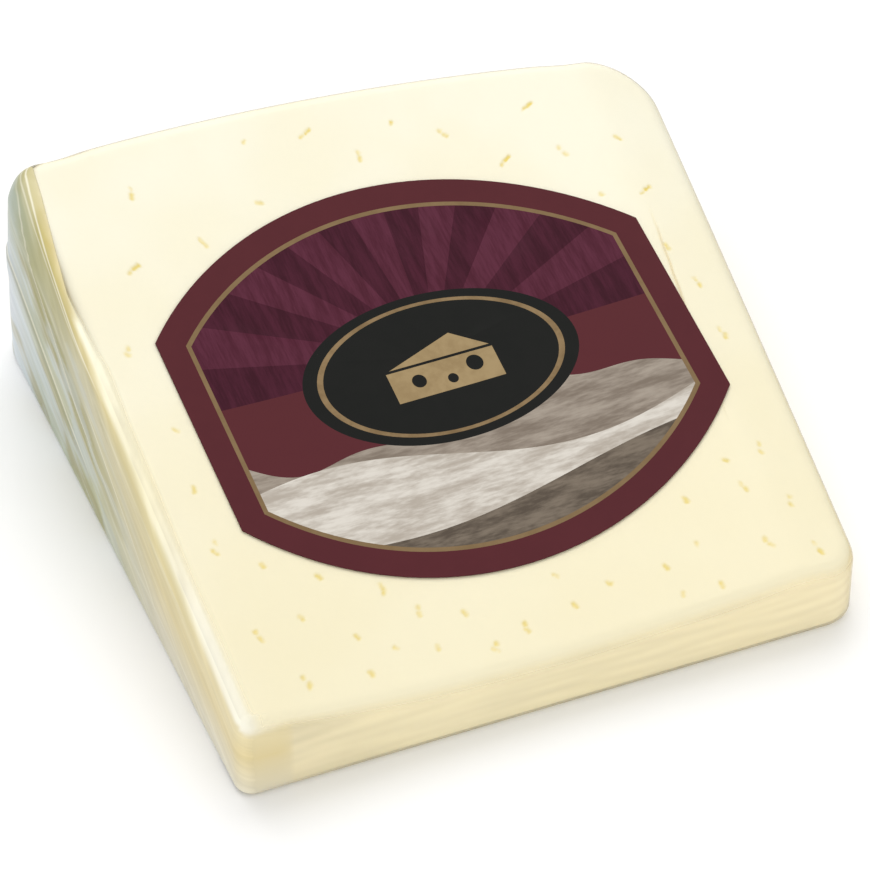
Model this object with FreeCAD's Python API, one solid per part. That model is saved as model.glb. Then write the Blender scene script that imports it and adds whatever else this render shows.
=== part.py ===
"""Graviera cheese sealed in a clear film bag, with a paper label on its upper cut face.

The piece is a sector cut from a wheel. It lies on one cut face, so the other cut face
slopes up from the thin tip to the wheel's rim. Units are millimetres.
+X runs along the wheel's axis, from one flat side of the wheel to the other.
+Y points from the tip to the rim. +Z is up. The origin is the middle of the base.
"""
import FreeCAD, Part
import math
import os

from FreeCAD import Vector

# Plan of the piece
TIP_WIDTH = 95.4            # along the cut tip, from one side of the wheel to the other
PIECE_DEPTH = 97.2          # from the tip to the rim's upper corners
TIP_SKEW = 1.3              # how much nearer the rim the tip's right end lies
SPREAD_LEFT = 1.1           # how much further out each side lies at the rim than at the tip
SPREAD_RIGHT = 4.5
TIP_CORNER_LEFT = 2.8       # radii of the four upright corners
TIP_CORNER_RIGHT = 5.2
RIM_CORNER_LEFT = 6.8
RIM_CORNER_RIGHT = 10.0

# The wheel's rim, round about the wheel's axis and barrel shaped along it
WHEEL_RADIUS = 154.0        # at the rim's corners
RIM_BULGE = 2.9             # how much further out its middle stands

# Film gathered along the left side, where it stands off the cheese
GATHER_AT_TIP = 0.2
GATHER_AT_RIM = 3.2
SHOULDER_SLOPE = 1.0        # drop of the film for each millimetre outwards
SHOULDER_SOFTNESS = 0.8

# Thickness of the piece at its tip and its rim
TIP_THICKNESS = 10.0        # in the middle of the tip
TIP_RISE_LEFT = 5.0         # rise of the tip's two ends above its middle
TIP_RISE_RIGHT = 3.7
TIP_RISE_POWER = 4.0        # how closely each rise keeps to its own end
RIM_THICKNESS_LEFT = 38.4
RIM_THICKNESS_RIGHT = 28.4

# Soft fall of the upper face beside its right edge
FALL_WIDTH = 9.1
FALL_SLOPE = 0.24
FALL_SOFTNESS = 2.0

# Rounding of the edges round the upper face and round the base
UPPER_EDGE_RADIUS = 2.2
BASE_EDGE_RADIUS = 1.2
EDGE_TO_CORNER = 0.8        # the most that either may be of the tightest upright corner

# Paper label: two straight sides joined by two long arcs
LABEL_WIDTH = 77.6
LABEL_HEIGHT = 66.6
LABEL_SIDE = 32.4           # length of each straight side
LABEL_THICKNESS = 0.3
LABEL_TURN_DEG = 3.6        # how far askew it is stuck on
LABEL_OFF_X = 1.2           # from the middle of the plan to the label's middle
LABEL_OFF_Y = 0.8

# Grid of points that the upper face is drawn through
GRID_COLUMNS = 40
GRID_ROWS = 12
GRID_OVERHANG = 6.0         # how far it runs past the piece on every side

HEADROOM = 5.0              # how much taller than the piece the blocks are that it is cut from
WHEEL_SWEEP_DEG = 70.0      # how much of the wheel is turned before the piece is cut from it

LEFT_X = -TIP_WIDTH / 2
RIGHT_X = TIP_WIDTH / 2
TIP_Y = -PIECE_DEPTH / 2
RIM_Y = PIECE_DEPTH / 2
EDGE_LIMIT = EDGE_TO_CORNER * min(TIP_CORNER_LEFT, TIP_CORNER_RIGHT,
                                  RIM_CORNER_LEFT, RIM_CORNER_RIGHT)
BLOCK_HEIGHT = HEADROOM + max(TIP_THICKNESS + max(TIP_RISE_LEFT, TIP_RISE_RIGHT),
                              RIM_THICKNESS_LEFT, RIM_THICKNESS_RIGHT)


def along(y):
    """Place between the tip, 0, and the rim's upper corners, 1."""
    return (y - TIP_Y) / PIECE_DEPTH


def left_side(y):
    """The cheese's left side at this distance along the piece."""
    return LEFT_X - SPREAD_LEFT * along(y)


def right_side(y):
    """The right side at this distance along the piece."""
    return RIGHT_X + SPREAD_RIGHT * along(y)


def gathered_side(y):
    """The film's outer face on the left, where it stands off the cheese."""
    return left_side(y) - GATHER_AT_TIP - (GATHER_AT_RIM - GATHER_AT_TIP) * along(y)


def hinge(distance, softness):
    """Zero before a fold and equal to the distance past it, with a soft turn between."""
    return (distance + math.hypot(distance, softness)) / 2


def upper_height(x, y):
    """Height of the upper cut face, with its fall on the right and the film's shoulder."""
    s = (x - LEFT_X) / TIP_WIDTH
    t = along(y)
    tip = (TIP_THICKNESS
           + TIP_RISE_LEFT * max(0.0, 1 - s) ** TIP_RISE_POWER
           + TIP_RISE_RIGHT * max(0.0, s) ** TIP_RISE_POWER)
    rim = RIM_THICKNESS_LEFT + (RIM_THICKNESS_RIGHT - RIM_THICKNESS_LEFT) * s
    fall = FALL_SLOPE * hinge(x - right_side(y) + FALL_WIDTH, FALL_SOFTNESS)
    shoulder = SHOULDER_SLOPE * hinge(left_side(y) - x, SHOULDER_SOFTNESS)
    return tip * (1 - t) + rim * t - fall - shoulder


def spaced(start, end, count):
    """Evenly spaced values from start to end."""
    return [start + (end - start) * i / (count - 1) for i in range(count)]


def upper_sheet():
    """The upper face as one smooth sheet that overhangs the piece on every side."""
    far_y = RIM_Y + RIM_BULGE + 2 * GRID_OVERHANG
    xs = spaced(gathered_side(far_y) - GRID_OVERHANG,
                right_side(far_y) + GRID_OVERHANG, GRID_COLUMNS)
    ys = spaced(TIP_Y - GRID_OVERHANG, far_y, GRID_ROWS)
    surface = Part.BSplineSurface()
    surface.interpolate([[Vector(x, y, upper_height(x, y)) for y in ys] for x in xs])
    return surface.toShape()


def upright_block():
    """A block with the piece's sides and tip, running on past the rim."""
    beyond_y = RIM_Y + BLOCK_HEIGHT
    corners = [
        Vector(gathered_side(TIP_Y), TIP_Y, 0),
        Vector(RIGHT_X, TIP_Y + TIP_SKEW, 0),
        Vector(right_side(beyond_y), beyond_y, 0),
        Vector(gathered_side(beyond_y), beyond_y, 0),
    ]
    plan = Part.Face(Part.makePolygon(corners + corners[:1]))
    return plan.extrude(Vector(0, 0, BLOCK_HEIGHT))


def wheel():
    """The part of the wheel that the piece is cut from, turned about the wheel's axis."""
    axis_y = RIM_Y - math.sqrt(WHEEL_RADIUS ** 2 - RIM_THICKNESS_LEFT ** 2)
    rim_y = axis_y + WHEEL_RADIUS
    half = right_side(rim_y) + BLOCK_HEIGHT
    # The barrel's arc, widened from the piece's own width so that its bulge stays the same
    sagitta = RIM_BULGE * (half / RIGHT_X) ** 2
    edge_y = rim_y + RIM_BULGE - sagitta
    rim = Part.Arc(Vector(-half, edge_y, 0), Vector(0, rim_y + RIM_BULGE, 0),
                   Vector(half, edge_y, 0)).toShape()
    rest = Part.makePolygon([Vector(half, edge_y, 0), Vector(half, axis_y, 0),
                             Vector(-half, axis_y, 0), Vector(-half, edge_y, 0)])
    section = Part.Face(Part.Wire([rim] + rest.Edges))
    return section.revolve(Vector(0, axis_y, 0), Vector(1, 0, 0), WHEEL_SWEEP_DEG)


def round_corner(shape, x, y, radius):
    """The shape with the upright edge nearest to this place in plan rounded."""
    def distance(edge):
        middle = edge.valueAt((edge.FirstParameter + edge.LastParameter) / 2)
        return math.hypot(middle.x - x, middle.y - y)

    upright = [e for e in shape.Edges if e.BoundBox.ZLength > BLOCK_HEIGHT / 2]
    return shape.makeFillet(radius, [min(upright, key=distance)])


def wrapped_cheese(sheet):
    """The sealed piece out to its film: cut from the wheel, then rounded along its edges."""
    block = upright_block().common(wheel())
    block = round_corner(block, LEFT_X, TIP_Y, TIP_CORNER_LEFT)
    block = round_corner(block, RIGHT_X, TIP_Y, TIP_CORNER_RIGHT)
    block = round_corner(block, RIGHT_X, RIM_Y, RIM_CORNER_RIGHT)
    block = round_corner(block, LEFT_X, RIM_Y, RIM_CORNER_LEFT)
    under_sheet = sheet.extrude(Vector(0, 0, -2 * BLOCK_HEIGHT))
    piece = block.common(under_sheet).Solids[0]
    upper = max(piece.Faces, key=lambda face: face.CenterOfMass.z)
    piece = piece.makeFillet(min(UPPER_EDGE_RADIUS, EDGE_LIMIT), upper.OuterWire.Edges)
    base = min(piece.Faces, key=lambda face: face.CenterOfMass.z)
    return piece.makeFillet(min(BASE_EDGE_RADIUS, EDGE_LIMIT), base.OuterWire.Edges)


def label(sheet):
    """The paper label, lying on the upper face and as curved as it is."""
    side_x = LABEL_WIDTH / 2
    side_y = LABEL_SIDE / 2
    top_y = LABEL_HEIGHT / 2
    edges = [
        Part.makeLine(Vector(-side_x, side_y, 0), Vector(-side_x, -side_y, 0)),
        Part.Arc(Vector(-side_x, -side_y, 0), Vector(0, -top_y, 0),
                 Vector(side_x, -side_y, 0)).toShape(),
        Part.makeLine(Vector(side_x, -side_y, 0), Vector(side_x, side_y, 0)),
        Part.Arc(Vector(side_x, side_y, 0), Vector(0, top_y, 0),
                 Vector(-side_x, side_y, 0)).toShape(),
    ]
    outline = Part.Face(Part.Wire(edges)).extrude(Vector(0, 0, 2 * BLOCK_HEIGHT))
    outline.rotate(Vector(0, 0, 0), Vector(0, 0, 1), LABEL_TURN_DEG)
    outline.translate(Vector(LABEL_OFF_X, LABEL_OFF_Y, 0))
    return sheet.extrude(Vector(0, 0, LABEL_THICKNESS)).common(outline).Solids[0]


def main():
    """Make both solids, move the base's middle to the origin and write them."""
    os.makedirs("parts", exist_ok=True)
    sheet = upper_sheet()
    solids = {"wrapped_cheese": wrapped_cheese(sheet), "label": label(sheet)}
    box = Part.makeCompound(list(solids.values())).optimalBoundingBox()
    to_origin = Vector(-box.Center.x, -box.Center.y, -box.ZMin)
    for name, solid in solids.items():
        solid.translate(to_origin)
        solid.exportStep(f"parts/{name}.step")
        print(name, "volume", round(solid.Volume / 1000, 2), "cm3, valid", solid.isValid())
    print("size", round(box.XLength, 2), round(box.YLength, 2), round(box.ZLength, 2))
    print("moved by", [round(v, 3) for v in to_origin])


main()
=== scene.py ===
"""Looks of a vacuum-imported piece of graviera: the cheese, its film and its label."""

import logging
import math
import random
from dataclasses import dataclass, field
from enum import Enum
from typing import Callable, NamedTuple, Sequence

import bmesh
import bpy
import numpy as np
from mathutils import Matrix, Vector, geometry, noise

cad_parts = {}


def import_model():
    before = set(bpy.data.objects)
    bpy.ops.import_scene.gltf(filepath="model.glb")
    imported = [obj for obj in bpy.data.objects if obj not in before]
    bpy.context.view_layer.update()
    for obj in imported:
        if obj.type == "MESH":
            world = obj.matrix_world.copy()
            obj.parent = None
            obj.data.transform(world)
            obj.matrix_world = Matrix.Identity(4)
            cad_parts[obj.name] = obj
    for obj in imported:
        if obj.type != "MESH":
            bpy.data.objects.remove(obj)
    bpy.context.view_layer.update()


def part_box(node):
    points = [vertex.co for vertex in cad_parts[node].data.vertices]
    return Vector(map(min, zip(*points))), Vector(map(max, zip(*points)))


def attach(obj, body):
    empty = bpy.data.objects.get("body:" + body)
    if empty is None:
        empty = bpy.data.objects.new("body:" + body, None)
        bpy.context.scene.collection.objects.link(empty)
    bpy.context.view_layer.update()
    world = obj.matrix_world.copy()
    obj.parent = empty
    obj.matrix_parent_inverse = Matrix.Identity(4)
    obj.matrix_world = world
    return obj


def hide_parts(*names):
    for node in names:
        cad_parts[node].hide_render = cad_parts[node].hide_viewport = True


LOG = logging.getLogger("graviera")
MM = 0.001
PULL = 0.42  # rise of the gathered film's streaks for each millimetre towards the rim
MAP_UNIT = 10.0  # millimetres for each unit of the lie maps
MAP_WALL = 30.0  # height of a whole wall on them, in millimetres

Colour = tuple[float, float, float]
Place = tuple[float, float]
Array = np.ndarray
Span = Array | float
Socket, Node, Tree = bpy.types.NodeSocket, bpy.types.Node, bpy.types.NodeTree
Sockets = Sequence[Socket]
Material, Mesh, Piece = bpy.types.Material, bpy.types.Mesh, bpy.types.Object


def linear(*levels: int) -> Colour:
    """Turn a display colour, three levels up to 255, into a shader's linear one."""
    return tuple(c / 12.92 if c <= 0.04045 else ((c + 0.055) / 1.055) ** 2.4
                 for c in (level / 255 for level in levels))


def smooth(low: float, high: float, value: Span) -> Span:
    """Rise from 0 at low to 1 at high with soft ends."""
    s = np.clip((value - low) / (high - low), 0.0, 1.0)
    return s * s * (3 - 2 * s)


def graded(place: Array, stops: Sequence[float], colours: Sequence[Colour]) -> Array:
    """Blend colours from stop to stop along a measure."""
    return np.stack([np.interp(place, stops, [c[k] for c in colours])
                     for k in range(3)], -1)


def lay_over(below: Array, above: Array | Colour, mask: Array) -> Array:
    """Lay one set of colours over another by a mask."""
    return below * (1 - mask[..., None]) + np.asarray(above) * mask[..., None]


# --- Form


class Side(Enum):
    """The piece's four upright sides and the turns between them."""

    RIM = 0
    LEFT = 1
    TIP = 2
    RIGHT = 3
    CORNER = 4


@dataclass(frozen=True)
class Fineness:
    """How finely a skin is divided.

    Attributes:
        stations: Stations on the rim, left side, tip and right side.
        turns: Stations on each corner.
        wall_rows: Rings up the wall.
        top_rows: Rings over the upper face.
    """

    stations: tuple[int, int, int, int]
    turns: int
    wall_rows: int
    top_rows: int


@dataclass
class Skin:
    """A closed surface in rings, from the middle of the base to the middle of the top.

    Attributes:
        points: Rings of points, in millimetres.
        wall: Share of the wall's height, 0 at the base and 1 at the upper edge.
        inset: How far each point lies inside the outline, in millimetres.
        around: Distance of each station round the outline, in millimetres.
        outward: Outward direction of each station in plan.
        left: How much each station belongs to the left side, 0 to 1.
    """

    points: Array
    wall: Array
    inset: Array
    around: Array
    outward: Array
    left: Array

    def lie(self, row: Array, station: Array) -> Array:
        """Find places on the lie map: distance round the piece, then up and over it.

        Args:
            row: Number of the ring.
            station: Number in the ring; one past the last is the first again.

        Returns:
            The places.
        """
        rows, count = self.wall.shape
        over = self.inset[row, station % count]
        up = (self.wall[row, station % count] * MAP_WALL
              + np.where(row > rows // 3, over, -over))
        return np.stack([self.around[station], up], -1) / MAP_UNIT

    def mesh(self, name: str, values: dict[str, Array],
             body: Array | None = None) -> Mesh:
        """Turn the rings into a closed mesh with a lie map and point attributes.

        Args:
            name: Name of the mesh.
            values: Point attributes, one value for each point of the rings.
            body: Colour attribute, one linear colour for each point of the rings.

        Returns:
            The mesh, in metres.
        """
        rows, count = self.points.shape[:2]
        low = np.append(self.points[0].mean(0)[:2], self.points[0, 0, 2])
        poles = [low, self.points[-1].mean(0)]
        points = np.concatenate([self.points.reshape(-1, 3), poles]) * MM
        # Rings and stations of the corners of each face between two rings
        r, i = np.indices((rows - 1, count)).reshape(2, -1)
        between = [(r, i), (r, i + 1), (r + 1, i + 1), (r + 1, i)]
        # And of the two triangles at each station that close the base and the top
        i = np.arange(count)
        base, top = i * 0, i * 0 + rows - 1
        closing = [(base, i), (base, i), (base, i + 1), (top, i), (top, i + 1), (top, i)]
        quads, pairs = (np.stack([a * count + b % count for a, b in corners], 1)
                        for corners in (between, closing))
        pairs[:, 1], pairs[:, 5] = len(points) - 2, len(points) - 1
        marks = [np.stack([self.lie(a, b) for a, b in corners], 1).ravel()
                 for corners in (between, closing)]
        mesh = bpy.data.meshes.new(name)
        faces = quads.tolist() + pairs.reshape(-1, 3).tolist()
        mesh.from_pydata(points.tolist(), [], faces)
        mesh.uv_layers.new(name="lie").data.foreach_set("uv", np.concatenate(marks))
        for key, value in values.items():
            flat = np.append(value.ravel(), [value[0].mean(), value[-1].mean()])
            attribute = mesh.attributes.new(key, "FLOAT", "POINT")
            attribute.data.foreach_set("value", flat.astype(float))
        if body is not None:
            flat = np.concatenate([body.reshape(-1, 3), [body[0, 0], body[-1, 0]]])
            attribute = mesh.color_attributes.new("body", "FLOAT_COLOR", "POINT")
            attribute.data.foreach_set("color", np.insert(flat, 3, 1, axis=1).ravel())
        mesh.polygons.foreach_set("use_smooth", [True] * len(mesh.polygons))
        mesh.update()
        return mesh


@dataclass(frozen=True)
class WedgeForm:
    """Sizes of the piece in millimetres, in the part's own frame."""

    tip_width: float = 95.4
    depth: float = 97.2
    tip_skew: float = 1.3
    spread_left: float = 1.1
    spread_right: float = 4.5
    tip_corner_left: float = 2.8
    tip_corner_right: float = 5.2
    rim_corner_left: float = 6.8
    rim_corner_right: float = 10.0
    wheel_radius: float = 154.0
    rim_bulge: float = 2.9
    gather_tip: float = 0.2
    gather_rim: float = 3.2
    shoulder_slope: float = 1.0
    shoulder_softness: float = 0.8
    tip_thickness: float = 10.0
    tip_rise_left: float = 5.0
    tip_rise_right: float = 3.7
    tip_rise_power: float = 4.0
    rim_left: float = 38.4
    rim_right: float = 28.4
    fall_width: float = 9.1
    fall_slope: float = 0.24
    fall_softness: float = 2.0
    upper_round: float = 2.2
    crest_in: float = 2.9
    crest_out: float = 0.35
    base_round: float = 1.2
    middle_x: float = -0.018
    middle_y: float = -3.898
    stand_off: float = 0.0

    @property
    def tip_y(self) -> float:
        """The tip's place along the piece."""
        return self.middle_y - self.depth / 2

    @property
    def rim_y(self) -> float:
        """The rim's upper corner along the piece."""
        return self.middle_y + self.depth / 2

    def along(self, y: Span) -> Span:
        """Place between the tip, 0, and the rim, 1."""
        return (y - self.tip_y) / self.depth

    def left_side(self, y: Span) -> Span:
        """The cheese's left side."""
        return self.middle_x - self.tip_width / 2 - self.spread_left * self.along(y)

    def right_side(self, y: Span) -> Span:
        """The right side."""
        return (self.middle_x + self.tip_width / 2 + self.spread_right * self.along(y)
                - self.stand_off)

    def outer_left(self, y: Span) -> Span:
        """The left side out to the gathered film."""
        gather = self.gather_tip + (self.gather_rim - self.gather_tip) * self.along(y)
        return self.left_side(y) - gather + self.stand_off

    def crest(self, y: Span) -> Span:
        """The cheese's own upper left edge, which draws in towards the rim."""
        out = self.crest_out * smooth(0, 0.25, self.along(y))
        return (self.left_side(y) - out
                + self.crest_in * smooth(0.62, 1.05, self.along(y)) ** 1.2)

    def bow(self, x: Span) -> Span:
        """How far the rim bulges out at a place across the piece."""
        return self.rim_bulge * (1 - ((x - self.middle_x) / (self.tip_width / 2)) ** 2)

    def rim(self, x: Span, z: float) -> Span:
        """The wheel's rim at a height, as a place along the piece."""
        axis = self.rim_y - math.sqrt(self.wheel_radius ** 2 - self.rim_left ** 2)
        return (axis + np.sqrt((self.wheel_radius + self.bow(x)) ** 2 - z * z)
                - self.stand_off)

    @staticmethod
    def hinge(distance: Array, softness: float) -> Array:
        """Zero before a fold, then the distance past it."""
        return (distance + np.hypot(distance, softness)) / 2

    def top(self, x: Array, y: Array) -> Array:
        """Find the height of the upper face.

        Args:
            x: Places across the piece.
            y: Places along it.

        Returns:
            The heights.
        """
        s = (x - self.middle_x + self.tip_width / 2) / self.tip_width
        t = self.along(y)
        tip = (self.tip_thickness
               + self.tip_rise_left * np.maximum(0, 1 - s) ** self.tip_rise_power
               + self.tip_rise_right * np.maximum(0, s) ** self.tip_rise_power)
        rim = self.rim_left + (self.rim_right - self.rim_left) * s
        fall = self.fall_slope * self.hinge(x - self.right_side(y) + self.fall_width,
                                            self.fall_softness)
        shoulder = self.shoulder_slope * self.hinge(self.left_side(y) - x,
                                                    self.shoulder_softness)
        return tip * (1 - t) + rim * t - fall - shoulder - self.stand_off

    def corners(self, z: float) -> list[Array]:
        """Find the sharp corners in plan.

        Args:
            z: Height of the plan.

        Returns:
            The corners: rim right, rim left, tip left and tip right.
        """
        places = []
        for edge in (self.right_side, self.outer_left):
            y = self.rim_y
            for _ in range(4):
                y = float(self.rim(edge(y), z))
            places.append(np.array([edge(y), y]))
        tip = self.tip_y + self.stand_off
        places.append(np.array([self.outer_left(tip), tip]))
        places.append(np.array([self.right_side(tip), tip + self.tip_skew]))
        return places

    def outline(self, z: float, fineness: Fineness) -> tuple[Array, Array, list[Side]]:
        """Draw the outline at a height as one closed line with round corners.

        Args:
            z: Height in millimetres.
            fineness: How many stations it has.

        Returns:
            Points and outward directions in plan, and the side of each station.
        """
        sharp = self.corners(z)
        radii = (self.rim_corner_right, self.rim_corner_left,
                 self.tip_corner_left, self.tip_corner_right)
        chords = [sharp[(k + 1) % 4] - sharp[k] for k in range(4)]
        chords = [c / np.hypot(*c) for c in chords]
        slope = 2 * self.rim_bulge * abs(sharp[0][0]) / (self.tip_width / 2) ** 2
        rim_start, rim_end = (np.array([-1.0, rise]) / math.hypot(1, slope)
                              for rise in (slope, -slope))
        incoming = [chords[3], rim_end, chords[1], chords[2]]
        leaving = [rim_start, *chords[1:]]
        arcs, starts, ends = [], [], []
        for corner, radius, a, b in zip(sharp, radii, incoming, leaving):
            turn = math.acos(float(np.clip(a @ b, -1, 1)))
            reach = radius * math.tan(turn / 2)
            inward = np.array([-a[1], a[0]])
            middle = corner - a * reach + inward * radius
            angles = np.linspace(0, turn, fineness.turns + 2)[1:-1]
            cos, sin = np.cos(angles), np.sin(angles)
            out = -np.stack([cos * inward[0] - sin * inward[1],
                             sin * inward[0] + cos * inward[1]], 1)
            arcs.append((middle + out * radius, out))
            starts.append(corner - a * reach)
            ends.append(corner + b * reach)
        points, outs, sides = [], [], []
        for k, count in enumerate(fineness.stations):
            f = np.linspace(0, 1, count)[:, None]
            run = ends[k] * (1 - f) + starts[(k + 1) % 4] * f
            out = np.repeat(np.array([[chords[k][1], -chords[k][0]]]), count, 0)
            if Side(k) is Side.RIM:
                blend = smooth(0.0, 0.1, f[:, 0]) * smooth(0.0, 0.1, 1 - f[:, 0])
                run[:, 1] += (self.rim(run[:, 0], z) - run[:, 1]) * blend
                tilt = 2 * self.rim_bulge * run[:, 0] / (self.tip_width / 2) ** 2
                out = np.stack([tilt, np.ones(count)], 1)
                out /= np.hypot(out[:, 0], out[:, 1])[:, None]
            points += [arcs[k][0], run]
            outs += [arcs[k][1], out]
            sides += [Side.CORNER] * fineness.turns + [Side(k)] * count
        return np.concatenate(points), np.concatenate(outs), sides

    def skin(self, fineness: Fineness) -> Skin:
        """Build the closed surface in rings.

        Args:
            fineness: How finely it is divided.

        Returns:
            The surface with its measures.
        """
        step, levels, usual_height = 6.0, 8, 25.0
        middle = np.array([0.5, -2.0])
        plans = [self.outline(step * k, fineness) for k in range(levels)]
        stack = np.stack([p[0] for p in plans])
        outward, sides = plans[0][1:]
        number = np.arange(len(sides))
        floor = np.zeros(len(sides))
        rings, walls, insets = [], [], []

        def place(z: Array, inset: Array) -> Array:
            """Find points in plan.

            Args:
                z: Height of each station.
                inset: How far inwards of the outline each one lies.

            Returns:
                The points.
            """
            k = np.clip((z / step).astype(int), 0, levels - 2)
            f = (z / step - k)[:, None]
            flat = stack[k, number] * (1 - f) + stack[k + 1, number] * f
            return flat - outward * inset[:, None]

        def settle(inset: Array, drop: Array) -> Array:
            """Find the upper face's height where the wall runs into it.

            Args:
                inset: How far inwards of the outline each station lies.
                drop: How far below the upper face it lies.

            Returns:
                The heights.
            """
            z = floor + usual_height
            for _ in range(6):
                p = place(z, inset)
                z = self.top(p[:, 0], p[:, 1]) - drop
            return z

        def add(xy: Array, z: Array, wall: Span, inset: Span) -> None:
            """Keep one ring.

            Args:
                xy: Places in plan.
                z: Heights.
                wall: Share of the wall's height.
                inset: How far inside the outline the ring lies.
            """
            rings.append(np.column_stack([xy, z]))
            walls.append(np.broadcast_to(wall, z.shape))
            insets.append(np.broadcast_to(inset, z.shape))

        left = np.array([1.0 if s is Side.LEFT else 0.0 for s in sides])
        for k, s in enumerate(sides):
            if s is Side.CORNER and outward[k][0] < 0:
                left[k] = smooth(0.0, 0.8, -outward[k][0])
        base, edge = floor + self.base_round, floor + self.upper_round
        rim_of_base = place(floor, base)
        for f in np.linspace(0.04, 1, 12)[:-1]:
            xy = middle + (rim_of_base - middle) * f
            add(xy, floor + self.stand_off, 0.0, np.hypot(*(xy - rim_of_base).T) + base)
        for a in np.linspace(0, math.pi / 2, 5):
            z = floor + base * (1 - math.cos(a)) + self.stand_off
            inset = base * (1 - math.sin(a))
            add(place(z, inset), z, z / usual_height, inset)
        low, high = base + self.stand_off, settle(floor, edge)
        crest = high + edge
        for f in np.linspace(0, 1, fineness.wall_rows + 2)[1:-1]:
            z = low + (high - low) * f
            add(place(z, floor), z, z / crest, 0.0)
        for a in np.linspace(0, math.pi / 2, 7):
            inset, drop = edge * (1 - math.cos(a)), edge * (1 - math.sin(a))
            z = settle(inset, drop)
            add(place(z, inset), z, np.clip(z / crest, 0, 1), inset)
        brim = rings[-1][:, :2]
        for f in (1 - np.linspace(0, 0.985, fineness.top_rows + 1) ** 1.12)[1:]:
            xy = middle + (brim - middle) * f
            add(xy, self.top(xy[:, 0], xy[:, 1]), 1.0, np.hypot(*(xy - brim).T) + edge)
        gaps = np.hypot(*(np.roll(stack[0], -1, 0) - stack[0]).T)
        around = np.concatenate([[0], np.cumsum(gaps)])
        return Skin(np.stack(rings), np.stack(walls), np.stack(insets), around, outward,
                    left)


# --- Node helpers


class Sheet:
    """A node tree with short calls to place and join nodes."""

    def __init__(self, tree: Tree) -> None:
        """Keep the tree."""
        self.tree = tree

    def add(self, kind: str, feeds: dict[str | int, object] | None = None,
            **settings: object) -> Node:
        """Place a node.

        Args:
            kind: Type of the node.
            feeds: Sockets or plain values for its inputs, by name or number.
            **settings: Its properties.

        Returns:
            The node.
        """
        node = self.tree.nodes.new(kind)
        for key, value in settings.items():
            setattr(node, key, value)
        for key, value in (feeds or {}).items():
            if isinstance(value, Socket):
                self.tree.links.new(value, node.inputs[key])
            else:
                node.inputs[key].default_value = value
        return node

    def math(self, operation: str, *values: object, clamp: bool = False) -> Socket:
        """Place a Math node."""
        return self.add("ShaderNodeMath", dict(enumerate(values)), operation=operation,
                        use_clamp=clamp).outputs[0]

    def times(self, first: object, *others: object) -> Socket:
        """Multiply values.

        Args:
            first: A socket or a number.
            *others: What it is multiplied by, in turn.

        Returns:
            The product.
        """
        for other in others:
            first = self.math("MULTIPLY", first, other)
        return first

    def less(self, first: object, second: object) -> Socket:
        """Take the second value from the first."""
        return self.math("SUBTRACT", first, second)

    def ramp(self, value: object, low: object, high: object, start: float = 0.0,
             end: float = 1.0) -> Socket:
        """Map a range onto another with soft ends."""
        feeds = dict(enumerate((value, low, high, start, end)))
        return self.add("ShaderNodeMapRange", feeds,
                        interpolation_type="SMOOTHSTEP").outputs[0]

    def blend(self, factor: object, *pair: Socket | Colour) -> Socket:
        """Mix two colours."""
        first, second = (c if isinstance(c, Socket) else (*c, 1.0) for c in pair)
        return self.add("ShaderNodeMix", {0: factor, 6: first, 7: second},
                        data_type="RGBA").outputs[2]

    def noise(self, vector: Socket, scale: object, detail: float = 3.0,
              rough: float = 0.5) -> Socket:
        """Place a Noise Texture and return its value."""
        return self.add("ShaderNodeTexNoise", {"Vector": vector, "Scale": scale,
                                               "Detail": detail, "Roughness": rough}
                        ).outputs[0]

    def split(self, vector: Socket) -> Sockets:
        """Take a vector apart."""
        return self.add("ShaderNodeSeparateXYZ", {0: vector}).outputs

    def join(self, *values: Socket) -> Socket:
        """Put a vector together."""
        return self.add("ShaderNodeCombineXYZ", dict(enumerate(values))).outputs[0]

    def place(self, group: Tree, **values: object) -> Sockets:
        """Place a node group, feed its named inputs and return its outputs."""
        return self.add("ShaderNodeGroup", values, node_tree=group).outputs

    def attribute(self, name: str) -> Socket:
        """Read a point attribute."""
        return self.add("ShaderNodeAttribute", attribute_name=name).outputs["Fac"]

    def here(self) -> Socket:
        """Read the object's own coordinates."""
        return self.add("ShaderNodeTexCoord").outputs["Object"]

    def lie(self) -> Socket:
        """Read the lie map."""
        return self.add("ShaderNodeUVMap", uv_map="lie").outputs[0]

    def bump(self, height: Socket, strength: float, distance: float) -> Socket:
        """Place a Bump node and return its normal."""
        return self.add("ShaderNodeBump", {"Strength": strength, "Distance": distance,
                                           "Height": height}).outputs[0]

    def body(self, colour: Socket, roughness: float, specular: float,
             normal: Socket) -> Socket:
        """Place a Principled shader."""
        return self.add("ShaderNodeBsdfPrincipled", {
            "Base Color": colour, "Roughness": roughness, "Specular IOR Level": specular,
            "Normal": normal}).outputs[0]

    def mix(self, factor: Socket, first: Socket, second: Socket) -> Socket:
        """Mix two shaders."""
        return self.add("ShaderNodeMixShader", {0: factor, 1: first, 2: second}).outputs[0]


Fill = Callable[[Sheet, Sockets], tuple[Socket, Socket]]


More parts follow.
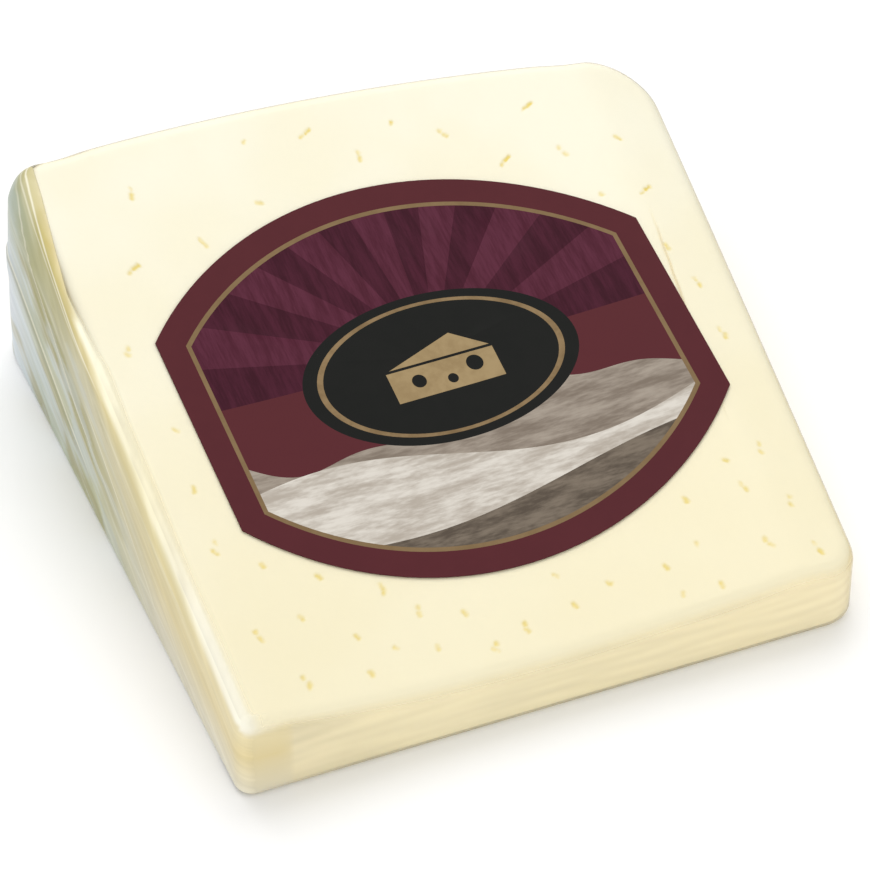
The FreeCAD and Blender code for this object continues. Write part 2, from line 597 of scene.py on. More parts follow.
def shader_group(name: str, inputs: dict[str, float | None], outputs: Sequence[str],
                 fill: Fill) -> Tree:
    """Make a shader node group with named sockets.

    Args:
        name: Name of the group.
        inputs: Input names with their defaults; a vector input has None.
        outputs: Names of the values that it puts out.
        fill: Places the nodes inside and returns the values to put out.

    Returns:
        The group.
    """
    group = bpy.data.node_groups.new(name, "ShaderNodeTree")
    for key, value in inputs.items():
        kind = "NodeSocketVector" if value is None else "NodeSocketFloat"
        socket = group.interface.new_socket(key, in_out="INPUT", socket_type=kind)
        if value is not None:
            socket.default_value = value
    for key in outputs:
        group.interface.new_socket(key, in_out="OUTPUT", socket_type="NodeSocketFloat")
    sheet = Sheet(group)
    values = fill(sheet, sheet.add("NodeGroupInput").outputs)
    sheet.add("NodeGroupOutput", dict(zip(outputs, values)))
    return group


class Effects:
    """Shader groups that several finishes share."""

    def __init__(self) -> None:
        """Build every group once."""
        self.streaks = shader_group(
            "drawn_streaks", {"Vector": None, "Along": 0.4, "Across": 8.0},
            ["Value", "Fine"], self._streaks)
        self.grain = shader_group(
            "close_grain", {"Vector": None, "Scale": 800.0}, ["Height", "Patch"],
            self._grain)
        self.fold = shader_group(
            "fold_line", {"Part": 0.0, "Fall": 0.0, "Near": 5.0, "Far": 5.0,
                          "Start": 0.0, "End": 1.0, "Bow": 0.0, "Width": 0.4},
            ["Mask", "Below"], self._fold)

    @staticmethod
    def _fold(s: Sheet, given: Sockets) -> tuple[Socket, Socket]:
        """Draw one fold in the gathered film.

        Args:
            s: The group's sheet.
            given: The group's inputs.

        Returns:
            Masks of the thin line and of the side below it, which takes painted shadow.
        """
        share = s.math("DIVIDE", s.less(given["Part"], given["Start"]),
                       s.less(given["End"], given["Start"]))
        held = s.math("MULTIPLY", share, 1.0, clamp=True)
        line = s.math("MULTIPLY_ADD", s.less(given["Far"], given["Near"]), held,
                      given["Near"])
        arch = s.times(held, s.less(1.0, held), s.times(given["Bow"], 4.0))
        off = s.math("DIVIDE", s.less(given["Fall"], s.math("ADD", line, arch)),
                     given["Width"])
        ends = s.times(s.ramp(share, 0.0, 0.2), s.ramp(share, 0.9, 1.05, 1.0, 0.0))
        below = s.times(s.ramp(off, 0.0, 1.0), s.ramp(off, 1.0, 7.0, 1.0, 0.0))
        return (s.times(s.ramp(s.math("ABSOLUTE", off), 0.0, 1.0, 1.0, 0.0), ends),
                s.times(below, ends))

    @staticmethod
    def _streaks(s: Sheet, given: Sockets) -> tuple[Socket, Socket]:
        """Make noise that is long one way and short the other.

        Args:
            s: The group's sheet.
            given: The group's inputs.

        Returns:
            Broad and fine streaks.
        """
        x, y, z = s.split(given["Vector"])
        drawn = s.join(s.times(x, given["Along"]), s.times(y, given["Across"]), z)
        return s.noise(drawn, 1.0, 4.0, 0.55), s.noise(drawn, 4.3, 3.0, 0.6)

    @staticmethod
    def _grain(s: Sheet, given: Sockets) -> tuple[Socket, Socket]:
        """Make fine grain and broad soft patches."""
        return (s.noise(given["Vector"], given["Scale"], 4.0),
                s.noise(given["Vector"], s.times(given["Scale"], 0.06), 2.0))


def new_material(name: str) -> tuple[Material, Sheet]:
    """Make an empty node material.

    Args:
        name: Name of the material.

    Returns:
        The material and its sheet.
    """
    material = bpy.data.materials.new(name)
    material.use_nodes = True
    material.node_tree.nodes.clear()
    return material, Sheet(material.node_tree)


# --- Finishes


@dataclass(frozen=True)
class PasteFinish:
    """Pale paste, golden rind and amber eyes."""

    paste_far: Colour = linear(253, 249, 229)
    paste_near: Colour = linear(251, 243, 212)
    paste_warm: Colour = linear(247, 236, 196)
    rind_near: Colour = linear(238, 224, 174)
    rind_far: Colour = linear(206, 188, 132)
    rind_fleck: Colour = linear(232, 218, 172)
    eye: Colour = linear(236, 212, 92)
    roughness: float = 0.5
    specular: float = 0.25

    def make(self, effects: Effects) -> Material:
        """Build the material.

        Args:
            effects: The shared groups.

        Returns:
            The finished material.
        """
        material, s = new_material("cheese_paste")
        here, reach = s.here(), s.attribute("reach")
        grain = s.place(effects.grain, Vector=here, Scale=700.0)
        fleck = s.place(effects.grain, Vector=here, Scale=1500.0)
        streaks = s.place(effects.streaks, Vector=s.lie(), Along=0.6, Across=4.0)
        paste = s.blend(s.times(s.ramp(grain["Patch"], 0.35, 0.68), 0.22),
                        s.blend(reach, self.paste_near, self.paste_far), self.paste_warm)
        rind = s.blend(reach, self.rind_near, self.rind_far)
        rind = s.blend(s.times(s.ramp(streaks["Value"], 0.35, 0.75), 0.5), rind,
                       self.rind_fleck)
        rind = s.blend(s.times(s.ramp(fleck["Height"], 0.5, 0.7), 0.25), rind,
                       self.rind_fleck)
        colour = s.blend(s.attribute("rind"), paste, rind)
        colour = s.blend(s.times(s.attribute("eye"), 0.9), colour, self.eye)
        body = s.body(colour, self.roughness, self.specular,
                      s.bump(grain["Height"], 0.25, 0.0002))
        s.add("ShaderNodeOutputMaterial", {0: body})
        return material


@dataclass(frozen=True)
class FilmFinish:
    """Clear film that turns cloudy where it is gathered."""

    pale: Colour = linear(246, 242, 222)
    # colour of the painted shadow below the pleats
    shade: Colour = linear(150, 146, 112)
    # darker colour of the painted shade along the crease beside the label
    crease_shade: Colour = linear(222, 206, 166)
    clear_roughness: float = 0.28
    cloud_roughness: float = 0.38
    specular: float = 0.22
    bend: float = 1.3
    gloss: float = 0.6

    def crease_shade_line(self, s: Sheet, here: Socket) -> Socket:
        """Draw the painted shade of the thin crease that runs up beside the label on the
        right.

        Args:
            s: The material's sheet.
            here: The object's own coordinates.

        Returns:
            Mask of the crease's line of painted shade.
        """
        x, y, _ = s.split(here)
        line = s.math("MULTIPLY_ADD", y, 0.085, 0.0402)
        wander = s.math("MULTIPLY_ADD", s.noise(here, 90.0, 2.0), 0.0012, -0.0006)
        off = s.math("ABSOLUTE", s.less(s.math("ADD", x, wander), line))
        return s.times(s.ramp(off, 0.0, 0.00035, 1.0, 0.0), s.ramp(y, -0.024, -0.012),
                       s.ramp(y, 0.008, 0.019, 1.0, 0.0))

    def slanted(self, s: Sheet, here: Socket, along: float, across: float) -> Socket:
        """Stretch places along the way the gathered film is pulled.

        Args:
            s: The material's sheet.
            here: The object's own coordinates.
            along: Scale along the pull.
            across: Scale across it.

        Returns:
            The stretched places.
        """
        x, y, z = s.split(here)
        rise = s.math("MULTIPLY_ADD", y, -PULL, z)
        return s.join(s.times(y, along), s.times(rise, across), s.times(x, along))

    def make(self, effects: Effects, pleats: Sequence["Pleat"]) -> Material:
        """Build the material.

        Args:
            effects: The shared groups.
            pleats: The folds along the left side.

        Returns:
            The finished material.
        """
        material, s = new_material("clear_film")
        here, part, fall = s.here(), s.attribute("part"), s.attribute("fall")
        fine = s.noise(self.slanted(s, here, 60.0, 560.0), 1.0, 2.0, 0.6)
        crease_shade = self.crease_shade_line(s, here)
        ragged = s.times(s.less(fine, 0.5), s.ramp(part, 0.3, 0.7, 0.1, 0.6))
        cover = s.ramp(s.math("ADD", ragged, s.attribute("brim")), -0.5, 0.5)
        cloud = s.times(cover, s.ramp(fine, 0.3, 0.7, 0.9, 1.0))
        # the veil: the film's haze, with a painted highlight along the near left crest
        cloud = s.math("MAXIMUM", cloud, s.attribute("veil"))
        cloud = s.math("MAXIMUM", cloud, s.times(crease_shade, 0.5))
        body = s.add("ShaderNodeVertexColor", layer_name="body").outputs["Color"]
        body = s.blend(s.times(s.ramp(fine, 0.52, 0.7), s.times(cover, 0.1)), body,
                       self.pale)
        for pleat in pleats:
            fold = s.place(effects.fold, Part=part, Fall=fall, Near=pleat.near,
                           Far=pleat.far, Start=pleat.start, End=pleat.end, Bow=pleat.bow,
                           Width=pleat.width)
            # painted shadow on the side below each pleat
            body = s.blend(s.times(fold["Below"], cover, pleat.shade), body, self.shade)
            body = s.blend(s.times(fold["Mask"], cover, pleat.pale), body, self.pale)
        # painted shade darkens the film along the crease
        body = s.blend(s.times(crease_shade, 0.9), body, self.crease_shade)
        height = s.math("MULTIPLY_ADD", fine, s.attribute("crumple"), s.attribute("relief"))
        normal = s.bump(height, 0.35, 0.0004)
        fresnel = s.add("ShaderNodeFresnel", {"IOR": self.bend, "Normal": normal})
        gloss = s.add("ShaderNodeBsdfGlossy", {"Roughness": self.clear_roughness,
                                               "Normal": normal})
        skin = s.mix(s.times(fresnel.outputs[0], self.gloss),
                     s.add("ShaderNodeBsdfTransparent").outputs[0], gloss.outputs[0])
        solid = s.body(body, self.cloud_roughness, self.specular, normal)
        s.add("ShaderNodeOutputMaterial", {0: s.mix(cloud, skin, solid)})
        return material


@dataclass(frozen=True)
class PrintFinish:
    """Ink on coated paper, plain or drawn out in tones."""

    name: str
    ink: Colour
    second: Colour
    along: float = 1.0
    across: float = 1.0
    tone: float = 0.4
    roughness: float = 0.5
    specular: float = 0.06

    def make(self, effects: Effects) -> Material:
        """Build the material.

        Args:
            effects: The shared groups.

        Returns:
            The finished material.
        """
        material, s = new_material(self.name)
        drawn = s.place(effects.streaks, Vector=s.lie(), Along=self.along,
                        Across=self.across)
        grain = s.place(effects.grain, Vector=s.here(), Scale=2600.0)
        mixed = s.math("ADD", s.times(drawn["Value"], 0.65), s.times(drawn["Fine"], 0.35))
        tone = s.times(s.ramp(mixed, 0.36, 0.64), self.tone)
        body = s.body(s.blend(tone, self.ink, self.second), self.roughness, self.specular,
                      s.bump(grain["Height"], 0.15, 0.00004))
        s.add("ShaderNodeOutputMaterial", {0: body})
        return material


# --- Geometry Nodes


def new_object(name: str, mesh: Mesh) -> Piece:
    """Put a mesh into the scene.

    Args:
        name: Name of the object.
        mesh: Its mesh.

    Returns:
        The object.
    """
    piece = bpy.data.objects.new(name, mesh)
    bpy.context.scene.collection.objects.link(piece)
    return piece


def applied(carrier: Piece, name: str) -> Mesh:
    """Take an object's mesh with its modifiers applied, and remove the object.

    Args:
        carrier: The object.
        name: Name of the mesh.

    Returns:
        The plain mesh.
    """
    ready = carrier.evaluated_get(bpy.context.evaluated_depsgraph_get())
    mesh = bpy.data.meshes.new_from_object(ready)
    bpy.data.objects.remove(carrier)
    mesh.name = name
    return mesh


class GeometryTree(Sheet):
    """A Geometry Nodes tree with named inputs."""

    def __init__(self, name: str, inputs: dict[str, str]) -> None:
        """Make the tree.

        Args:
            name: Name of the tree.
            inputs: Input names with their kinds, after the geometry.
        """
        tree = bpy.data.node_groups.new(name, "GeometryNodeTree")
        super().__init__(tree)
        self.keys: dict[str, str] = {}
        for key, kind in {"Geometry": "Geometry", **inputs}.items():
            item = tree.interface.new_socket(key, in_out="INPUT",
                                             socket_type=f"NodeSocket{kind}")
            self.keys[key] = item.identifier
        tree.interface.new_socket("Geometry", in_out="OUTPUT",
                                  socket_type="NodeSocketGeometry")
        self.given = self.add("NodeGroupInput").outputs

    def end(self, shape: Socket) -> None:
        """Realize the instances, set the material and put the shape out.

        Args:
            shape: The shape.
        """
        real = self.add("GeometryNodeRealizeInstances", {0: shape}).outputs[0]
        paint = self.add("GeometryNodeSetMaterial", {"Geometry": real,
                                                     "Material": self.given["Material"]})
        self.add("NodeGroupOutput", {0: paint.outputs[0]})

    def run(self, carrier: Piece, name: str, values: dict[str, object]) -> Piece:
        """Apply the tree to an object and keep the result as a plain mesh.

        Args:
            carrier: Object that the tree works on; it is removed.
            name: Name of the finished piece.
            values: Values of the named inputs.

        Returns:
            The finished piece.
        """
        modifier = carrier.modifiers.new(name, "NODES")
        modifier.node_group = self.tree
        for key, value in values.items():
            modifier[self.keys[key]] = value
        return new_object(name, applied(carrier, name))


# --- Cheese


@dataclass(frozen=True)
class Eye:
    """One small opening in the paste.

    Attributes:
        x: Place across the piece, in millimetres.
        y: Place along it.
        length: Length in millimetres.
        turn: Direction in degrees.
        fade: How far off the face its mark lies, in millimetres; the further, the fainter.
    """

    x: float
    y: float
    length: float
    turn: float
    fade: float = 0.0


@dataclass(frozen=True)
class CheeseForm(WedgeForm):
    """The cheese's own sizes, just inside the film."""

    shoulder_slope: float = 0.0
    stand_off: float = 0.15
    upper_round: float = 2.1
    base_round: float = 1.6
    rim_corner_left: float = 5.0
    tip_corner_left: float = 3.0
    clearance: float = 0.3
    belly: float = 1.1
    tuck: float = 0.8

    def outer_left(self, y: Span) -> Span:
        """The cheese's left side, under the gathered film."""
        t = self.along(y)
        return (self.left_side(y) + self.clearance - self.belly * smooth(0, 0.7, t)
                + self.tuck * smooth(0.7, 0.95, t))


@dataclass
class Cheese:
    """The piece of cheese inside its film."""

    form: CheeseForm = field(default_factory=CheeseForm)
    fineness: Fineness = Fineness((104, 104, 108, 104), 12, 36, 52)
    label_keep_out: float = 1.06
    slits: tuple[Eye, ...] = (
        Eye(31, 40, 1.0, 33), Eye(-4, 42, 0.9, 30), Eye(24, 31, 1.0, 36),
        Eye(43, 21, 1.0, 34), Eye(-37, 24, 1.0, 30), Eye(9, 41, 0.4, 60, 0.12),
        Eye(-14, 42, 0.4, 70, 0.12))
    dot_gap: float = 6.4
    dot_count: int = 62
    slit_reach: float = 0.5
    dot_reach: float = 0.62
    eye_depth: float = 0.22
    fine_reach: float = 1.6
    base_height: float = 5.0
    settled: float = 0.12
    margin: float = 4.5
    margin_left: float = 5.0
    margin_rim: float = 5.5
    most_tries: int = 6000
    seed: int = 23

    def tails(self) -> list[Eye]:
        """The fainter end of each long slit, on its lower left."""
        return [Eye(e.x - 1.25 * math.cos(math.radians(e.turn)),
                    e.y - 1.35 * math.sin(math.radians(e.turn)), 0.7, e.turn + 8, 0.24)
                for e in self.slits if e.length > 0.8]

    def scatter(self, label: "Label") -> list[Eye]:
        """Scatter round eyes over the upper face, clear of the label and the slits.

        Args:
            label: The label, under which no eye shows.

        Returns:
            The scattered eyes.
        """
        draw = random.Random(self.seed)
        found: list[Eye] = []
        tries = 0
        while len(found) < self.dot_count and tries < self.most_tries:
            tries += 1
            t = draw.random() ** 1.25
            y = self.form.tip_y + self.margin + t * (
                self.form.depth - (self.margin + self.margin_rim))
            x = draw.uniform(self.form.left_side(y) + self.margin_left,
                             self.form.right_side(y) - self.margin)
            near = [e for e in [*self.slits, *found]
                    if math.hypot(e.x - x, e.y - y) < self.dot_gap * (0.75 + 0.5 * t)]
            if near or label.shape.covers(x, y, self.label_keep_out):
                continue
            found.append(Eye(x, y, draw.uniform(0.3, 0.8), draw.gauss(105, 22),
                             draw.uniform(0.0, 0.3)))
            if draw.random() < 0.4:
                found.append(Eye(x + draw.uniform(-0.6, 0.6), y + draw.uniform(0.9, 1.5),
                                 0.3, 90, draw.uniform(0.15, 0.34)))
        return found

    def marks(self, name: str, eyes: Sequence[Eye]) -> Piece:
        """Lay each eye on the upper face as a short line.

        Args:
            name: Name of the lines' object.
            eyes: The eyes.

        Returns:
            The lines.
        """
        points = []
        for e in eyes:
            for end in (-0.5, 0.5):
                x = e.x + math.cos(math.radians(e.turn)) * e.length * end
                y = e.y + math.sin(math.radians(e.turn)) * e.length * end
                z = float(self.form.top(np.array(x), np.array(y))) + e.fade
                points.append((x * MM, y * MM, z * MM))
        mesh = bpy.data.meshes.new(name)
        mesh.from_pydata(points, [(i, i + 1) for i in range(0, len(points), 2)], [])
        return new_object(name, mesh)

    def refine(self, mesh: Mesh, eyes: Sequence[Eye]) -> None:
        """Divide the mesh finely round the eyes and lay it back on the upper face.

        Args:
            mesh: The cheese's mesh.
            eyes: The eyes.
        """
        grid = bmesh.new()
        grid.from_mesh(mesh)
        spots = np.array([(e.x, e.y) for e in eyes])

        def gap(x: float, y: float) -> float:
            """Distance of the nearest eye."""
            return np.hypot(spots[:, 0] - x, spots[:, 1] - y).min()

        touched = []
        for face in grid.faces:
            c = face.calc_center_median() / MM
            upper = face.normal.z > 0.8 and c.z > self.base_height
            if upper and gap(c.x, c.y) < self.fine_reach:
                touched.append(face)
        edges = list({e for f in touched for e in f.edges})
        bmesh.ops.subdivide_edges(grid, edges=edges, cuts=3, use_grid_fill=True)
        for vertex in grid.verts:
            x, y, z = vertex.co / MM
            if z > self.base_height and gap(x, y) < self.fine_reach + 1.5:
                upper = float(self.form.top(np.array(x), np.array(y)))
                if abs(upper - z) < self.settled:
                    vertex.co.z = upper * MM
        for face in grid.faces:
            face.smooth = True
        grid.to_mesh(mesh)
        grid.free()

    def tree(self) -> GeometryTree:
        """Build the tree that sinks the eyes and marks them.

        Returns:
            The tree.
        """
        tree = GeometryTree("cheese_eyes", {
            "Slits": "Object", "Dots": "Object", "Slit Reach": "Float",
            "Dot Reach": "Float", "Depth": "Float", "Material": "Material"})
        here = tree.add("GeometryNodeInputPosition").outputs[0]
        ragged = tree.math("MULTIPLY_ADD", tree.noise(here, 1300.0), 0.0008, -0.0004)

        def dent(target: str, reach: Socket, share: float) -> Socket:
            """Mask the dents round one set of lines.

            Args:
                target: Name of the input with the lines.
                reach: How far the dents reach.
                share: Strength of the mask.

            Returns:
                The mask.
            """
            info = tree.add("GeometryNodeObjectInfo", {"Object": tree.given[target]},
                            transform_space="ORIGINAL")
            near = tree.add("GeometryNodeProximity", {0: info.outputs["Geometry"]},
                            target_element="EDGES")
            return tree.ramp(tree.math("ADD", near.outputs["Distance"], ragged),
                             tree.times(reach, 0.05), reach, share, 0.0)

        mask = tree.math("MAXIMUM", dent("Slits", tree.given["Slit Reach"], 1.0),
                         dent("Dots", tree.given["Dot Reach"], 0.8))
        keep = tree.add("GeometryNodeStoreNamedAttribute", {
            "Geometry": tree.given["Geometry"], "Name": "eye", "Value": mask},
            data_type="FLOAT", domain="POINT")
        read = tree.add("GeometryNodeInputNamedAttribute", {"Name": "eye"},
                        data_type="FLOAT")
        drop = tree.times(read.outputs["Attribute"], tree.times(tree.given["Depth"], -1.0))
        normal = tree.add("GeometryNodeInputNormal").outputs[0]
        sunk = tree.add("ShaderNodeVectorMath", {0: normal, "Scale": drop},
                        operation="SCALE")
        move = tree.add("GeometryNodeSetPosition", {"Geometry": keep.outputs[0],
                                                    "Offset": sunk.outputs[0]})
        tree.end(move.outputs[0])
        return tree

    def build(self, label: "Label", material: Material) -> Piece:
        """Make the cheese with its eyes.

        Args:
            label: The label, under which no eye shows.
            material: The cheese's finish.

        Returns:
            The finished piece.
        """
        skin = self.form.skin(self.fineness)
        cut = np.array([smooth(0.45, 0.95, abs(o[0]) if o[1] <= 0.2 else 1.0)
                        for o in skin.outward])
        high = smooth(0.97, 0.9, skin.wall)
        rind = cut[None, :] * (1 - smooth(0.05, 0.8, skin.inset))
        rind = rind * (skin.left[None, :] + (1 - skin.left[None, :]) * high)
        rind = np.where(skin.points[..., 2] < 1.0, 0.25 * rind, rind)
        reach = smooth(0.0, 1.0, self.form.along(skin.points[..., 1]))
        mesh = skin.mesh("cheese", {"rind": rind, "reach": reach})
        mesh.materials.append(material)
        slits, dots = [*self.slits, *self.tails()], self.scatter(label)
        self.refine(mesh, [*slits, *dots])
        lines = self.marks("slit_marks", slits), self.marks("dot_marks", dots)
        piece = self.tree().run(new_object("cheese_block", mesh), "cheese", {
            "Slits": lines[0], "Dots": lines[1], "Slit Reach": self.slit_reach * MM,
            "Dot Reach": self.dot_reach * MM, "Depth": self.eye_depth * MM,
            "Material": material})
        for line in lines:
            bpy.data.objects.remove(line)
        return piece


# --- Film


class Band(NamedTuple):
    """Display colour of the gathered film at a fall below the crest, in millimetres."""

    fall: float
    red: int
    green: int
    blue: int


@dataclass(frozen=True)
class Station:
    """Colours of the gathered film at a place along the side."""

    part: float
    bands: tuple[Band, ...]

    def colour(self, fall: Array) -> Array:
        """Colour at each fall below the crest."""
        return graded(fall, [band.fall for band in self.bands],
                      [linear(*band[1:]) for band in self.bands])


# Rind and film haze seen on the left side, with painted glare of the white surroundings in
# the pale bluish low bands towards the rim
GATHERED = (
    Station(0.05, (Band(0.0, 244, 234, 200), Band(2.0, 236, 222, 178),
                   Band(7.0, 230, 213, 163), Band(15.0, 232, 226, 206))),
    Station(0.33, (Band(0.0, 246, 238, 202), Band(1.6, 229, 215, 163),
                   Band(9.0, 222, 207, 158), Band(20.0, 220, 214, 192))),
    Station(0.60, (Band(0.0, 232, 219, 170), Band(1.2, 220, 205, 152),
                   Band(2.6, 208, 201, 170), Band(12.0, 202, 198, 164),
                   Band(26.0, 190, 191, 154))),
    Station(0.85, (Band(0.0, 224, 210, 162), Band(1.0, 206, 190, 124),
                   Band(2.2, 194, 184, 124), Band(3.4, 184, 180, 140),
                   Band(10.0, 178, 176, 136), Band(18.0, 188, 192, 170),
                   Band(32.0, 188, 196, 182))),
    Station(0.97, (Band(0.0, 212, 202, 158), Band(1.4, 198, 189, 138),
                   Band(3.0, 184, 184, 152), Band(5.0, 176, 184, 160),
                   Band(12.0, 188, 196, 184), Band(20.0, 212, 219, 222),
                   Band(36.0, 220, 226, 230))))
OLIVE = linear(160, 152, 96)
# bluish white where the film stands off on air: partly its own haze, partly painted glare
# of the white surroundings
AIR_HAZE_AND_GLARE = linear(206, 216, 220)
# these creams also colour the painted highlight along the near left crest
CREAM = (linear(254, 249, 230), linear(250, 242, 208), linear(253, 248, 222))
TIP_STRIP = (linear(236, 224, 188), linear(234, 222, 184), linear(246, 232, 194))
GLOSS_ALLOWANCE = 0.025


def gathered_colour(part: Array, fall: Array) -> Array:
    """Blend the stations' colours along the side.

    Args:
        part: Place along the side, 0 at the tip and 1 at the rim.
        fall: Millimetres below the crest.

    Returns:
        A linear colour for each place.
    """
    parts = [station.part for station in GATHERED]
    colour = np.zeros((*fall.shape, 3))
    for k, station in enumerate(GATHERED):
        weight = np.interp(part, parts, [float(k == n) for n in range(len(parts))])
        colour += weight[..., None] * station.colour(fall)
    return np.clip(colour - GLOSS_ALLOWANCE, 0.02, 1)


class PleatKind(Enum):
    """How a pleat stands off the film."""

    RIDGE = "ridge"
    STEP = "step"


@dataclass(frozen=True)
class Pleat:
    """A pleat along the left side.

    Attributes:
        near: Millimetres below the crest at its end towards the tip.
        far: Millimetres below the crest at its end towards the rim.
        start: Place along the side where it starts, 0 at the tip and 1 at the rim.
        end: Place along the side where it ends.
        lift: How far it stands off the film, in millimetres.
        width: Width in millimetres.
        pale: How pale its line is, 0 to 1.
        bow: How far its middle hangs down, in millimetres.
        shade: How much painted shadow darkens the film below it, 0 to 1.
        kind: Whether it is a ridge or a step.
    """

    near: float
    far: float
    start: float
    end: float
    lift: float
    width: float
    pale: float = 0.0
    bow: float = 0.0
    shade: float = 0.0
    kind: PleatKind = PleatKind.RIDGE

    def height(self, part: Array, fall: Array) -> Array:
        """Find how far the pleat stands off the film.

        Args:
            part: Place along the side, 0 at the tip and 1 at the rim.
            fall: Millimetres below the crest.

        Returns:
            The heights in millimetres.
        """
        s = np.clip((part - self.start) / (self.end - self.start), 0, 1)
        off = fall - (self.near + (self.far - self.near) * s + 4 * self.bow * s * (1 - s))
        fade = smooth(0, 0.12, part - self.start) * smooth(0, 0.12, self.end - part)
        wide = max(self.width, 0.7)
        if self.kind is PleatKind.STEP:
            return self.lift * fade * smooth(-wide, wide, off) * smooth(9, 2, off)
        return self.lift * fade * np.exp(-(off / wide) ** 2)


@dataclass
class Wall:
    """Where each point of the film lies from the cheese's upper left edge, the crest.

    Attributes:
        part: Place along the side, 0 at the tip and 1 at the rim.
        past: Millimetres outside the crest.
        drop: Millimetres below the crest.
        fall: Both together, from 0.
    """

    part: Array
    past: Array
    drop: Array
    fall: Array


@dataclass
class Film:
    """The sealed film round the cheese."""

    form: WedgeForm = field(default_factory=lambda: WedgeForm(stand_off=0.02))
    fineness: Fineness = Fineness((84, 128, 96, 90), 14, 88, 40)
    slack: float = 0.3
    height: float = 38.0
    edge: float = 0.01
    hug_start: float = 0.62
    hug_end: float = 0.76
    seed: int = 7
    pleats: tuple[Pleat, ...] = (
        Pleat(0.9, 1.0, 0.56, 1.03, 0.10, 0.30, 0.75, 0.95, 0.15),
        Pleat(1.5, 2.1, 0.62, 1.03, 0.10, 0.35, 0.45, 0.9),
        Pleat(17.0, 3.6, 0.46, 0.98, 0.30, 0.50, 0.45, 1.5),
        Pleat(22.0, 9.0, 0.40, 0.95, 0.25, 0.60, 0.12, 1.0),
        Pleat(24.5, 20.5, 0.60, 1.06, 0.55, 0.28, 0.55, -3.0, 0.45, PleatKind.STEP),
        Pleat(19.0, 9.0, 0.32, 0.63, 0.25, 0.45, 0.55, -1.5),
        Pleat(13.0, 19.0, 0.04, 0.46, 0.15, 0.60, 0.25),
        Pleat(2.6, 3.0, 0.16, 0.60, 0.15, 0.50, 0.20, 0.4))
    small_pleats: int = 5

    def every_pleat(self) -> list[Pleat]:
        """Add the small pleats to the named ones.

        Returns:
            All pleats.
        """
        draw = random.Random(self.seed)
        small = []
        for _ in range(self.small_pleats):
            far, start = draw.uniform(4, 24), draw.uniform(0.1, 0.5)
            small.append(Pleat(far + draw.uniform(2, 7), far, start,
                               start + draw.uniform(0.3, 0.5), draw.uniform(0.08, 0.2),
                               draw.uniform(0.6, 1.0)))
        return [*self.pleats, *small]

    def measure(self, points: Array) -> Wall:
        """Measure where each point lies from the crest.

        Args:
            points: Rings of points.

        Returns:
            The measures.
        """
        x, y, z = np.moveaxis(points, -1, 0)
        crest = self.form.crest(y)
        past, drop = crest - x, self.form.top(crest, y) - z
        return Wall(self.form.along(y), past, drop,
                    np.clip(past, 0, None) + np.clip(drop, 0, None))

    def from_left(self, points: Array) -> Array:
        """Distance of each point from the left side."""
        return points[..., 0] - self.form.outer_left(points[..., 1])

    def brim(self, skin: Skin, at: Wall) -> Array:
        """Find where the cloudy film of the left side ends.

        Args:
            skin: The film's surface.
            at: Where its points lie.

        Returns:
            A value that passes through 0 where the cloud ends.
        """
        below = at.past + 0.6 * np.clip(at.drop, 0, 4)
        hug = (0.0, self.hug_start, self.hug_end)
        brim = ((below + np.interp(at.part, hug, (2.3, 1.8, 0.0)))
                / np.interp(at.part, hug, (2.2, 1.6, 0.35)))
        thin = 0.25 + 3 * smooth(-0.5, 0.4, below)
        brim += (np.minimum(brim, thin) - brim) * smooth(self.hug_end, 0.6, at.part)
        tipward = smooth(-0.2, -0.75, skin.outward[:, 1])[None, :] * (skin.inset < 2.3)
        brim += (0.6 + at.past / 5 - brim) * tipward
        clear = -3.0
        brim = np.clip(np.where(self.from_left(skin.points) < 8.0, brim, clear), clear,
                       -clear)
        return np.where((skin.wall < 0.02) & (at.past <= 0), clear, brim)

    def ripple(self, skin: Skin, fall: Array, along: float, rise: float,
               level: float) -> Array:
        """Draw soft noise out along the wall.

        Args:
            skin: The film's surface.
            fall: Millimetres below the crest.
            along: Scale round the piece.
            rise: Scale up the wall.
            level: Which noise it is.

        Returns:
            The noise, about 0.
        """
        run = np.broadcast_to(skin.around[None, :-1] * along, fall.shape)
        up = (1 - np.clip(fall / self.height, 0, 1)) * rise
        return np.array([noise.noise(Vector((a, b, level)))
                         for a, b in zip(run.flat, up.flat)]).reshape(fall.shape)

    def patches(self, points: Array, along: float, rise: float,
                level: float) -> Array:
        """Draw soft patches out the way the film is pulled.

        Args:
            points: Rings of points.
            along: Scale along the side.
            rise: Scale across the pull.
            level: Which noise it is.

        Returns:
            The noise, about 0.
        """
        x, y, z = np.moveaxis(points, -1, 0)
        places = np.stack([y * along, (z - PULL * y) * rise, x * 0.06 + level], -1)
        return np.array([noise.fractal(Vector(a), 0.6, 2.0, 3)
                         for a in places.reshape(-1, 3)]).reshape(z.shape)

    def gathered(self, at: Wall, sway: Array, stain: Array,
                 loose_glare: Array) -> Array:
        """Colour the gathered film.

        Args:
            at: Where its points lie.
            sway: Noise that shifts the bands.
            stain: Noise where the rind shows darker.
            loose_glare: Noise where air lies behind the film, which pales it with haze and
                painted glare.

        Returns:
            The linear colours.
        """
        body = gathered_colour(at.part, np.clip(
            at.fall + 1.2 * sway * smooth(2, 8, at.fall), 0, None))
        far = smooth(0.3, 0.7, at.part) * smooth(1.5, 4.0, at.fall)
        low_down = 0.5 + 0.5 * smooth(8, 16, at.fall)
        body = lay_over(body, OLIVE, 0.65 * smooth(0.05, 0.35, stain) * far)
        # haze and painted glare where air lies behind the film
        body = lay_over(body, AIR_HAZE_AND_GLARE, 0.5 * smooth(0.05, 0.3, loose_glare) * far * low_down)
        inner = (smooth(0.25, -0.15, at.past + 0.5 * np.clip(at.drop, 0, 9))
                 * smooth(0.8, 0.7, at.part) * smooth(2.0, 0.8, at.drop))
        return lay_over(body, graded(at.part, (0.15, 0.4, 0.7), CREAM), inner)

